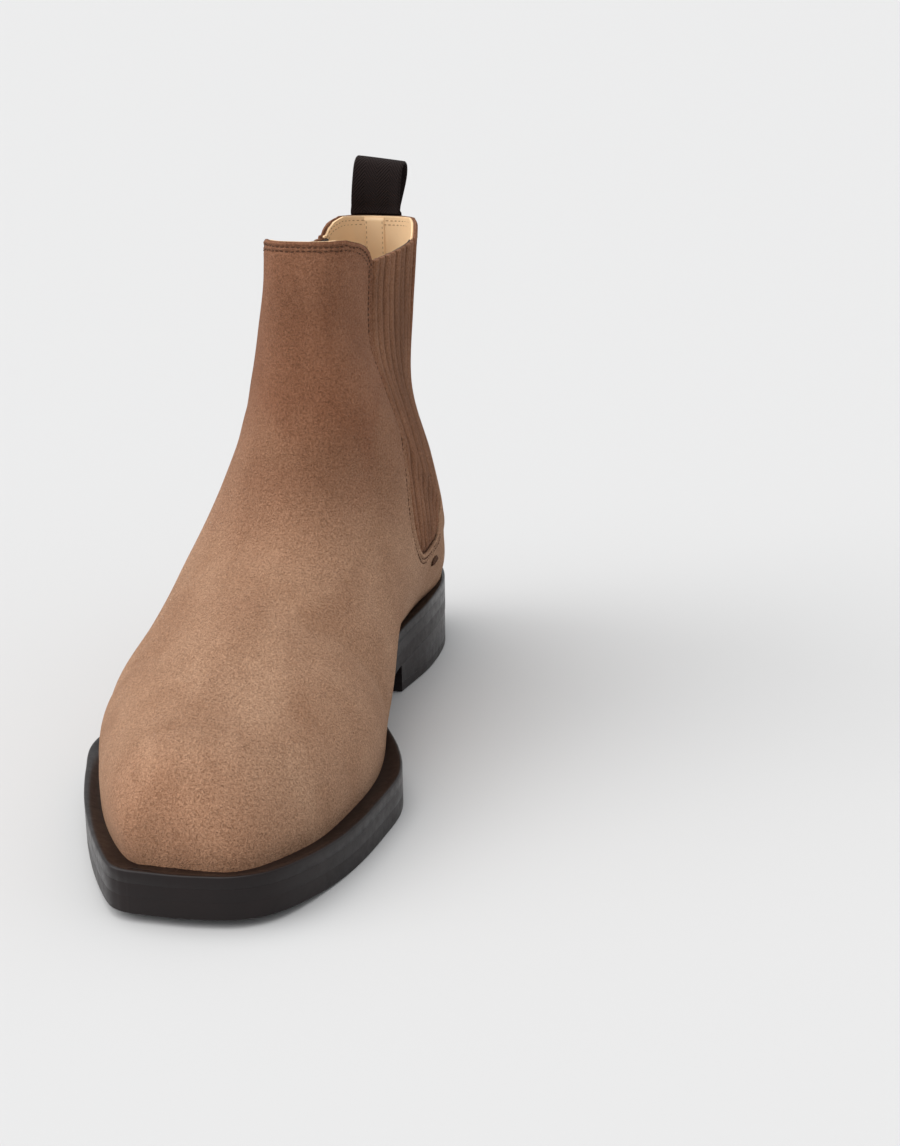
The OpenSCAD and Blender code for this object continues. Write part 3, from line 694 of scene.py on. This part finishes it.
# ---------- suede panels
front, front_under, front_line = panel(
    "front_panel.suede", RIDGE, STEER, EDGE, GORE_FRONT, panel_rows(281, 0.01), 36,
    SEAM_ROW, GORE_ROW, SUEDE_MAT)
piece(front, stands_for=["front_panel"])
back, back_under, back_line = panel(
    "back_quarter.suede", BACK_SEAM, BACK_STEER, BACK_EDGE, GORE_REAR, panel_rows(170, 0.0083), 40,
    BACK_SEAM_ROW, BACK_GORE_ROW, SUEDE_MAT)
piece(back, "bends", ["back_panel", "heel_panel"])


def lining(name, under, stiffener_end, fade, trim):
    """Lining leather under a panel, trimmed back from the edge where the gore is sewn in. Up to the
    station stiffener_end it also clears the toe puff or the heel counter."""
    t, base, n, swell = under
    rows = np.unique(np.concatenate([np.arange(0, t.shape[0], 3), np.arange(t.shape[0] - 12, t.shape[0])]))
    rows = rows[t[rows].min(1) > 0.3]
    near = int((NEAR_EDGE < trim).sum())
    pick = np.ix_(rows, np.arange(near, t.shape[1] - near))
    depth = SUEDE + GLUE + STIFFENER * (1 - smooth((t[pick] - stiffener_end) / fade)) - swell[pick]
    edge_gap = distance_to(base[pick], respaced(base[-1], LINE_STEP))
    edge_roll = 0.35 * np.clip(1 - edge_gap / 0.45, 0, 1) ** 2
    return sheet_mesh(name, base[pick] - (depth + edge_roll)[..., None] * n[pick],
                      base[pick] - (depth + LINING - edge_roll)[..., None] * n[pick], LINING_MAT)


piece(lining("lining_front.leather", front_under, 2.6, 0.8, 4.3), stands_for=["lining_front"])
piece(lining("lining_quarter.leather", back_under, 11.4, 0.5, 1.3), "bends",
      ["lining_back", "lining_heel"])


# ---------- gores
RIBS = 8
GORE_WIDTH, GORE_HEIGHT = 60, 124       # flat size of the ribbed face, without its seam allowance
FACING_EDGE, FACING_MID, FACING_BACK = 1.62, 1.6, 2.35      # depths of the face under the skin
ELASTIC_FACE, ELASTIC_BACK = 2.42, 3.3
# In the side view [y, z]: cut top, first and last rib, and lower edge
GORE_TOP = [[26, 178.6], [32, 178], [60, 177.2], [88, 177], [96, 177.2]]
RIB_FRONT = [[52, 50], [47.5, 66], [42.3, 82], [38.9, 100], [36, 120], [33.4, 145], [31.4, 170], [31, 180]]
RIB_REAR = [[90, 50], [94, 66], [96.5, 84], [97.8, 100], [98, 120], [96, 140], [92.2, 160], [88, 180]]
GORE_LOW = [[30, 90], [38, 76], [43, 62], [50, 56.2], [58, 53], [72, 53], [84, 55.6], [92, 62], [97, 70],
            [101, 82], [104, 92]]


def table(points, key, value, x):
    """Column value of the points, straight between them, where column key is x."""
    p = np.array(points, float)
    p = p[np.argsort(p[:, key])]
    return np.interp(x, p[:, key], p[:, value])


def opening_distance(y, z):
    """Signed distance to the edge of the gore's opening in the side view, positive inside."""
    ring = np.vstack([GORE_FRONT[::-1], GORE_REAR[1:], [[89, 200], [31, 200]]])
    dense = respaced(np.vstack([GORE_FRONT[::-1], GORE_REAR[1:]]), 0.4)
    d = distance_to(np.stack([y, z], -1), dense)
    inside = np.zeros(y.shape, bool)
    for (y0, z0), (y1, z1) in zip(ring, np.roll(ring, -1, 0)):
        crosses = (z0 > z) != (z1 > z)
        inside ^= crosses & (y < (y1 - y0) * (z - z0) / (z1 - z0 + 1e-12) + y0)
    return np.where(inside, d, -d)


def gore_grid(rows=150, cols=170, overlap=0.075):
    """Grid of y and z in the side view, with u across the ribs and v from the lower edge to the top."""
    u = np.linspace(-overlap, 1 + overlap, cols)[None]
    v = np.concatenate([np.linspace(0, 0.985, rows), [0.99, 0.994, 0.997, 0.9985, 0.9995, 1]])[:, None]
    across = lambda z: table(RIB_FRONT, 1, 0, z) * (1 - u) + table(RIB_REAR, 1, 0, z) * u
    low = 60 + 0 * u
    for _ in range(4):
        low = table(GORE_LOW, 0, 1, across(low))
    z = low + (table(GORE_TOP, 0, 1, across(178)) - low) * v

    def rib(points):
        p = np.array(points, float)
        return curve(p, np.interp(z, p[:, 1], np.arange(len(p))))[..., 0]

    return rib(RIB_FRONT) * (1 - u) + rib(RIB_REAR) * u, z, u + 0 * z, v + 0 * z


def gores():
    """Ribbed suede face and woven elastic of both gores. The face's ribs rise inside its opening."""
    y, z, u, v = gore_grid()
    ta = at(y, z)
    inside = smooth((opening_distance(y, z) - 0.2) / 2.6)
    phase = u * RIBS + 0.05 * np.sin(z / 15 + 5 * u) + 0.03 * np.sin(z / 6.5 + 9 * u)
    height = np.abs(np.sin(math.pi * phase)) ** 0.7 * (1.35 + 0.2 * np.sin(z / 21 + 3 * np.floor(phase)))
    face = FACING_EDGE * (1 - inside) + (FACING_MID - height) * inside
    top_edge = np.clip(1 - (v.max() - v) * GORE_HEIGHT / 0.6, 0, 1) ** 2
    drop_top = np.array([0, 0, -0.5]) * smooth((v - 0.97) / 0.03)[..., None]
    uv = np.stack([u * GORE_WIDTH, z], -1)
    coarse = (slice(None, None, 2), slice(None, None, 4))
    for side, word in ((1, "medial"), (-1, "lateral")):
        p, n = skin(ta[..., 0], ta[..., 1], side), normal(ta[..., 0], ta[..., 1], side)
        under = lambda depth, top=0.0: p + top - depth[..., None] * n
        facing = sheet_mesh("gore_facing_" + word + ".suede", under(face + 0.4 * top_edge),
                            under(FACING_BACK - 0.4 * top_edge), GORE_MAT, uv=np.stack([phase, z], -1))
        outer = under(ELASTIC_FACE + 0.25 * top_edge, drop_top)
        inner = under(ELASTIC_BACK - 0.25 * top_edge, drop_top)
        elastic = sheet_mesh("gore_elastic_" + word + ".weave", outer[coarse], inner[coarse], ELASTIC_MAT,
                             uv=uv[coarse])
        piece(facing, "bends", ["gore_facing_" + word])
        piece(elastic, "bends", ["gore_elastic_" + word])


gores()


# ---------- sole, in layers with rounded edges
# Outline from toe to heel: [y, lateral x, medial x]
SOLE_ROWS = np.array([
    [-150, -1.5, 12], [-149.1, -5.5, 21], [-146.3, -10, 33], [-138.3, -16.3, 43], [-122, -26.8, 50.3],
    [-98, -40, 56], [-74, -50.5, 58.4], [-52, -57.8, 58.4], [-30, -55.8, 51], [-5, -47, 37],
    [22, -41, 27], [52, -37, 27], [84, -35, 31], [112, -33, 30], [132, -26, 24],
    [144, -17, 16], [149, -8, 9], [150, -2, 3],
], float)


def sole_rows(start=None):
    """Fine rows of the outline, cut off square at start."""
    rows = along(SOLE_ROWS, np.linspace(0, 1, 240))
    if start is not None:
        k = int(np.argmax(rows[:, 0] > start))
        f = (start - rows[k - 1, 0]) / (rows[k, 0] - rows[k - 1, 0])
        rows = np.vstack([rows[k - 1] + f * (rows[k] - rows[k - 1]), rows[k:]])
    return rows


def outline(rows):
    """Closed outline [x, y]: lateral side from toe to heel, then the medial side back."""
    return np.vstack([rows[:, [1, 0]], rows[::-1][:, [2, 0]]])


def outward(loop, corner=0):
    """Outward direction at each point of the outline, square at the corners of a heel breast."""
    d = np.roll(loop, -1, 0) - np.roll(loop, 1, 0)
    n = np.stack([-d[:, 1], d[:, 0]], 1)
    n /= np.maximum(1e-9, np.linalg.norm(n, axis=1, keepdims=True))
    area = np.sum(loop[:, 0] * np.roll(loop[:, 1], -1) - np.roll(loop[:, 0], -1) * loop[:, 1])
    n = n if area < 0 else -n
    if corner:
        n[0], n[-1] = [-1, -1], [1, -1]
    return n


def stack(name, rings, material, breast):
    """Closed piece through rings of points, which follow the outline from the lower face to the upper one."""
    count = len(rings[0])
    i = np.arange(count // 2 - 1)
    cap = np.stack([i, i + 1, count - 2 - i, count - 1 - i], -1)
    faces = np.vstack([quads(len(rings), count, wrap=True), cap, cap[:, ::-1] + (len(rings) - 1) * count])
    obj = mesh_object(name, np.vstack(rings), faces, material)
    edit(obj, lambda bm: bmesh.ops.recalc_face_normals(bm, faces=bm.faces))
    obj.data.shade_smooth()
    if breast:
        sharpen(obj)
    return obj


def sole_layer(name, rows, profile, height, material, breast=False):
    """Layer over an outline. profile holds [inset, height] from the lower face to the upper one."""
    loop = outline(rows)
    n = outward(loop, corner=breast)
    rings = []
    for inset, h in profile:
        p = loop - inset * n
        rings.append(np.column_stack([p, height(p[:, 1]) + h]))
    return stack(name, rings, material, breast)


def sharpen(obj, angle=38):
    """Flat faces meet in crisp edges over this angle."""
    def mark(bm):
        for e in bm.edges:
            e.smooth = not (len(e.link_faces) == 2 and e.calc_face_angle(0) > math.radians(angle))
    edit(obj, mark)


def rounded(low, high, r_low, r_high, inset=0.0):
    """Edge profile between two heights with rounded corners."""
    turn = [1 - math.sin(w) for w in np.linspace(0, math.pi / 2, 5)]
    back = [1 - math.cos(w) for w in np.linspace(0, math.pi / 2, 5)]
    bottom = [[inset + r_low * s, low + r_low * c] for s, c in zip(turn, back)]
    top = [[inset + r_high * c, high - r_high * s] for s, c in zip(turn, back)]
    return [[inset + CAP_INSET, low]] + bottom + top + [[inset + CAP_INSET, high]]


def flat(y):
    return 0 * y


CAP_INSET = 6.0                         # ring inside each flat face, which keeps its rim crisp
LIFT_TOP = TOP_PIECE + 4.1
JOINT = 0.03                            # tiny chamfer that shows where two layers meet
full_rows = sole_rows()
heel_rows = sole_rows(BREAST_Y)
heel_rows[:, 1:] *= 0.995

# The welt has a rounded crest at its edge and a gutter that falls towards the upper
WELT_PROFILE = [[6, SEAT - WELT + 0.01], [0.03, SEAT - WELT + 0.01], [0, SEAT - WELT + 0.04],
                [0, SEAT - 0.75], [0.05, SEAT - 0.42], [0.2, SEAT - 0.16], [0.48, SEAT - 0.02], [0.9, SEAT],
                [1.5, SEAT - 0.06], [2.4, SEAT - 0.35], [3.6, SEAT - 0.85], [5, SEAT - 1.25],
                [7.5, SEAT - 1.5], [11, SEAT - 1.55]]
midsole_profile = rounded(OUTSOLE + 0.01, OUTSOLE + MIDSOLE, JOINT, JOINT)
outsole_profile = rounded(0, OUTSOLE, 0.45, JOINT)
for stem, name, slot, material, profile in (
        ("welt", "welt.leather", "sole_leather", SOLE_MAT, WELT_PROFILE),
        ("midsole", "midsole.leather", "sole_leather", SOLE_MAT, midsole_profile),
        ("outsole", "outsole.rubber", "sole_rubber", RUBBER_MAT, outsole_profile)):
    piece(sole_layer(name, full_rows, profile, rise, material), stands_for=[stem])


def seat_lift():
    """Wedge between the flat lift and the rising underside of the outsole."""
    loop = outline(heel_rows)
    n = outward(loop, corner=1)
    rings = []
    for inset, share in ((6, 0), (0.05, 0), (0.02, 0.01), (0.02, 0.99), (0.05, 1), (6, 1)):
        p = loop - inset * n
        rings.append(np.column_stack([p, LIFT_TOP + (rise(p[:, 1]) - LIFT_TOP) * share]))
    return stack("heel_seat_lift.leather", rings, SOLE_MAT, breast=True)


piece(seat_lift(), stands_for=["heel_seat_lift"])
heel_lift = rounded(TOP_PIECE + 0.02, LIFT_TOP - 0.01, 0.05, JOINT, 0.02)
piece(sole_layer("heel_lift.leather", heel_rows, heel_lift, flat, SOLE_MAT, breast=True),
      stands_for=["heel_lift"])
top_piece = rounded(0, TOP_PIECE, 0.9, 0.12, 0.02)
piece(sole_layer("top_piece.rubber", heel_rows, top_piece, flat, RUBBER_MAT, breast=True),
      stands_for=["top_piece"])


# ---------- pull loop and tape
TAPE_W, TAPE_T = 20.0, 1.2
TAPE_X = 1.0                            # the tape is sewn on a little to the medial side
LOOP_H, LOOP_D = 21.0, 12.0
LEAN, TILT = 0.12, 0.11                 # the loop leans sideways as it rises, and its top slopes
HALF_W = TAPE_W / 2
TAPE_COLUMNS = np.array([-HALF_W, -HALF_W + 0.12, -HALF_W + 0.45,
                         *np.linspace(-HALF_W + 1.2, HALF_W - 1.2, 13), HALF_W - 0.45, HALF_W - 0.12, HALF_W])
SELVEDGE = np.clip(1 - (HALF_W - np.abs(TAPE_COLUMNS)) / 0.5, 0, 1) ** 2 / 2      # rounding of both edges
loop_low, loop_high = (np.array(c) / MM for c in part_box("pull_loop"))
seam_top = skin(TOP_T, 1, 1)
# Middle of the line where the two ends of the loop meet over the collar
fold = np.array([(loop_low[0] + loop_high[0]) / 2, seam_top[1] - SUEDE / 2, seam_top[2] + TAPE_T + 0.5])


def back_reach(t, x):
    """Place a on the back of the shaft for a sideways distance x from its middle line."""
    s, _, n = section(t)
    m = n + rear_fullness(t)
    u = np.abs(x) / np.where(x > 0, s[..., 7], s[..., 8])
    return np.arccos(-(1 - np.minimum(1, u) ** m) ** (n / (2 * m))) / math.pi


def back_skin(t, x):
    """Skin and normals on the back of the shaft, x from its middle line."""
    t = t + 0 * x
    a, side = back_reach(t, x), np.where(x > 0, 1.0, -1.0)
    return skin(t, a, side), normal(t, a, side)


def bow(x):
    """How far the collar's edge lies forward of the back seam at x from the fold's middle."""
    return seam_top[1] - back_skin(TOP_T, np.asarray(x) + TAPE_X)[0][..., 1]


def tape_uv(columns, line):
    """Millimetres across the tape and along its line of points."""
    seg = np.concatenate([[0], np.cumsum(np.linalg.norm(np.diff(line, axis=0), axis=1))])
    return np.stack(np.broadcast_arrays(columns[None] + HALF_W, seg[:, None]), -1)


def loop_band(line, thickness):
    """Tape swept along the loop's line in the side view, which holds [y, z]."""
    normals = side_normals(line)
    height = line[:, 1] - fold[2]
    shift = bow(TAPE_COLUMNS)[None] * (1 - 0.75 * smooth(height / 16))[:, None]
    lean = LEAN * np.maximum(0, height)[:, None]
    tilt = TILT * TAPE_COLUMNS[None] * smooth(height / 16)[:, None]

    def face(d):
        x = fold[0] + TAPE_COLUMNS[None] + lean
        y = line[:, None, 0] - shift + normals[:, None, 0] * d[None]
        return np.stack([x, y, line[:, None, 1] - tilt + normals[:, None, 1] * d[None]], -1)

    depth = thickness / 2 - SELVEDGE * thickness
    return sheet_mesh("pull_loop.tape", face(depth), face(-depth), TAPE_MAT, uv=tape_uv(TAPE_COLUMNS, line))


def side_normals(line):
    d = np.gradient(line, axis=0)
    d /= np.linalg.norm(d, axis=1, keepdims=True)
    return np.stack([d[:, 1], -d[:, 0]], 1)


def loop_line():
    """Teardrop line of the loop, halfway through the tape, from the fold round and back."""
    s = np.radians(np.linspace(14, 346, 90))
    y = (LOOP_D - TAPE_T) / 2 * np.sin(s) * np.sin(s / 2) ** 1.4 * 1.12
    y += 0.25 * np.sin(3 * s + 0.6) * np.sin(s / 2)
    y = np.sign(y) * np.maximum(np.abs(y), 0.62)     # the two ends lie side by side, half a thickness off
    z = TAPE_T / 2 + (LOOP_H - TAPE_T) * (1 - np.cos(s)) / 2
    y, z = np.concatenate([y[:1], y, y[-1:]]), np.concatenate([[-1.0], z, [-1.0]])
    return respaced(fold[1:] + np.stack([y, z], 1), 0.45)


pull_loop = loop_band(loop_line(), TAPE_T * 0.92)
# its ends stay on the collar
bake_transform(pull_loop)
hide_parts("pull_loop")


def over_collar(grid, target):
    """The grid with rows added that lift above the collar's edge and turn in towards the fold."""
    x = TAPE_COLUMNS
    last, goal = grid[-1], np.stack([fold[0] + x, target[0] - bow(x), 0 * x + target[1]], -1)
    lifted = last + np.array([0, 0, 1.4])
    rows = [(1 - u) ** 2 * last + 2 * u * (1 - u) * lifted + u * u * goal for u in np.linspace(0, 1, 8)[1:]]
    return np.vstack([grid, np.stack(rows)])


def tape_tail():
    """Tail of the tape down the outside of the back seam, over the collar's edge and in to the fold."""
    t = np.linspace(12.38, TOP_T, 60)[:, None]
    p, n = back_skin(t, TAPE_COLUMNS[None] + TAPE_X + 0 * t)
    end = np.clip(1 - (t - t[0]) * 30 / 0.6, 0, 1) ** 2 / 2
    rim = np.maximum(SELVEDGE[None], end) * TAPE_T
    off = 0.12 + 0.05 * np.sin(t * 9)                # the tape doesn't lie quite flat on the suede
    outer = over_collar(p + (off + TAPE_T - rim)[..., None] * n, (fold[1] + 0.9, fold[2] + 0.1))
    inner = over_collar(p + (off + rim)[..., None] * n, (fold[1] + 0.2, fold[2] - 0.5))
    return sheet_mesh("back_tape.tape", outer, inner, TAPE_MAT, uv=tape_uv(TAPE_COLUMNS, outer[:, 8]))


tail = tape_tail()
piece(tail, "bends", ["back_tape"])


# ---------- stitching
SEWING_R = 0.22
INSIDE = SUEDE + GLUE + LINING          # depth of the lining's inner face


def stitches(name, lines, surface, body, radius=THREAD_R, material=THREAD_MAT):
    return piece(mesh_object(name, *thread_row(lines, radius, surface), material), body)


def inside_rows(line, above):
    """The same two rows as they show on the lining, higher than above."""
    rows = []
    for d in (STITCH_1, STITCH_2):
        p, n = offset_line(line, d, INSIDE - 0.1)
        ok = p[:, 2] > above
        rows.append((p[ok], -n[ok]))
    return rows


for word, line, surface, body in (("front", front_line, tree(front), "boot"),
                                  ("back", back_line, tree(back), "bends")):
    stitches(word + "_stitching.thread", [offset_line(line, d) for d in (STITCH_1, STITCH_2)], surface, body)
for word, line, above, body in (("front", front_line, 178, "boot"), ("back", back_line, 120, "bends")):
    stitches("lining_" + word + "_stitching.thread", inside_rows(line, above), None, body,
             SEWING_R, SEWING_MAT)


def lining_strip():
    """Thin strip of lining over the back seam inside, with a row of stitches along each edge."""
    t = np.linspace(11.6, 13.985, 60)[:, None]
    x = np.array([-4.5, -4.4, -4.2, *np.linspace(-3.6, 3.6, 9), 4.2, 4.4, 4.5])[None] + 0 * t
    p, n = back_skin(t, x)
    rim = 0.2 * np.clip((np.abs(x) - 4.1) / 0.4, 0, 1) ** 2
    strip = sheet_mesh("lining_back_strip.leather", p - (INSIDE - 0.1) * n,
                       p - (INSIDE + 0.22 - rim)[..., None] * n, LINING_MAT)
    piece(strip, "bends", ["lining_back_strip"])
    rows = [(p[:, col] - (INSIDE + 0.15) * n[:, col], -n[:, col]) for col in (3, 11)]
    stitches("lining_strip_stitching.thread", rows, None, "bends", 0.2, SEWING_MAT)


lining_strip()

TACK_T, TACK_A = 7.62, 0.795            # place of the bar tacks on the skin
TACK_LONG, TACK_HIGH = 3.7, 1.75        # half length, and half height at the middle


def bar_tack(word, side):
    """Oval of tight upright stitches across the head of the side seam."""
    p, n = skin(TACK_T, TACK_A, side), normal(TACK_T, TACK_A, side)
    ahead = np.array([0, 1.0, 0]) - n[1] * n
    ahead /= np.linalg.norm(ahead)
    up = np.cross(n, ahead) * side
    verts, faces = [], []
    count, around, rings = 17, 7, 9
    angle = np.arange(around) * 2 * math.pi / around
    for k, u in enumerate(np.linspace(-1, 1, count)):
        half = TACK_HIGH * math.sqrt(max(0.12, 1 - abs(u) ** 2.6)) * (1 + 0.08 * math.sin(7.3 * k))
        faces.extend(capsule_faces(len(verts), rings, around))
        for w in np.linspace(-1, 1, rings):
            r = THREAD_R * (1 - 0.25 * abs(w) ** 4)
            height = half * w + 0.12 * math.sin(5.1 * k)
            c = p + ahead * u * TACK_LONG + up * height + n * (0.62 - 0.72 * abs(w) ** 3)
            verts.extend(c + r * (math.cos(q) * ahead + math.sin(q) * n) for q in angle)
    obj = mesh_object("bar_tack_" + word + ".thread", verts, faces, THREAD_MAT)
    return piece(obj, "boot", ["bar_tack_" + word])


bar_tack("medial", 1)
bar_tack("lateral", -1)


# ---------- pieces kept from the CAD
KEPT = {"lining": LINING_MAT}
COLORS = {m["slot"]: tuple(m["base_color"]) for m in frame["record"]["materials"]}
for entry in frame["record"]["subparts"]:
    node, slot = frame["nodes"][entry["node"]], entry["material_slot"]
    if node.hide_render:
        continue
    if slot not in KEPT:
        KEPT[slot] = hidden_material(slot + ".grain", slot, COLORS[slot])
    node.data.materials.clear()
    node.data.materials.append(KEPT[slot])


# ---------- floor, light, camera
FLOOR_SIZE, FLOOR_Y = 26000, 8000       # it reaches far behind the boot, out to the horizon
FLOOR_Z = -0.05
reach = FLOOR_SIZE / 2
floor = mesh_object("floor", np.array([[x, y + FLOOR_Y, FLOOR_Z] for x, y in (
    (-reach, -reach), (reach, -reach), (reach, reach), (-reach, reach))]), [[0, 1, 2, 3]],
    node_material("floor", (0.60, 0.60, 0.602), 0.9, specular=0.1), smooth_shading=False)

world = bpy.data.worlds.new("studio")
world.use_nodes = True
backdrop = world.node_tree.nodes["Background"]
backdrop.inputs["Color"].default_value = (0.97, 0.985, 1.0, 1)
backdrop.inputs["Strength"].default_value = 0.74
bpy.context.scene.world = world
bpy.context.scene.view_settings.view_transform = "Standard"


def sun(name, source, strength, angle, color=(1, 1, 1)):
    """Far, soft light from the direction of source."""
    data = bpy.data.lights.new(name, "SUN")
    data.energy, data.angle, data.color = strength, math.radians(angle), color
    obj = bpy.data.objects.new(name, data)
    obj.rotation_euler = (-Vector(source)).to_track_quat("-Z", "Y").to_euler()
    bpy.context.scene.collection.objects.link(obj)


sun("key", (-0.45, -0.25, 1.0), 2.05, 80, (1.0, 0.985, 0.965))
sun("side", (-1.0, -0.45, 0.5), 0.8, 50)

CAMERA_AT = Vector((0.2402, -0.6577, 0.2936))
YAW, PITCH_DOWN, CAMERA_ROLL = math.radians(15.08), math.radians(18.09), math.radians(-0.88)
camera_data = bpy.data.cameras.new("camera")
camera_data.sensor_width = 36
camera_data.lens = 62.2
camera_data.clip_start, camera_data.clip_end = 0.02, 50
camera = bpy.data.objects.new("camera", camera_data)
flat_forward = math.cos(PITCH_DOWN)
forward = Vector((-math.sin(YAW) * flat_forward, math.cos(YAW) * flat_forward, -math.sin(PITCH_DOWN)))
level = Vector((math.cos(YAW), math.sin(YAW), 0))
upright = level.cross(forward)
right = math.cos(CAMERA_ROLL) * level + math.sin(CAMERA_ROLL) * upright
up = -math.sin(CAMERA_ROLL) * level + math.cos(CAMERA_ROLL) * upright
facing = Matrix((right, up, -forward)).transposed().to_4x4()
camera.matrix_world = Matrix.Translation(CAMERA_AT) @ facing
bpy.context.scene.collection.objects.link(camera)
bpy.context.scene.camera = camera

bpy.context.view_layer.update()
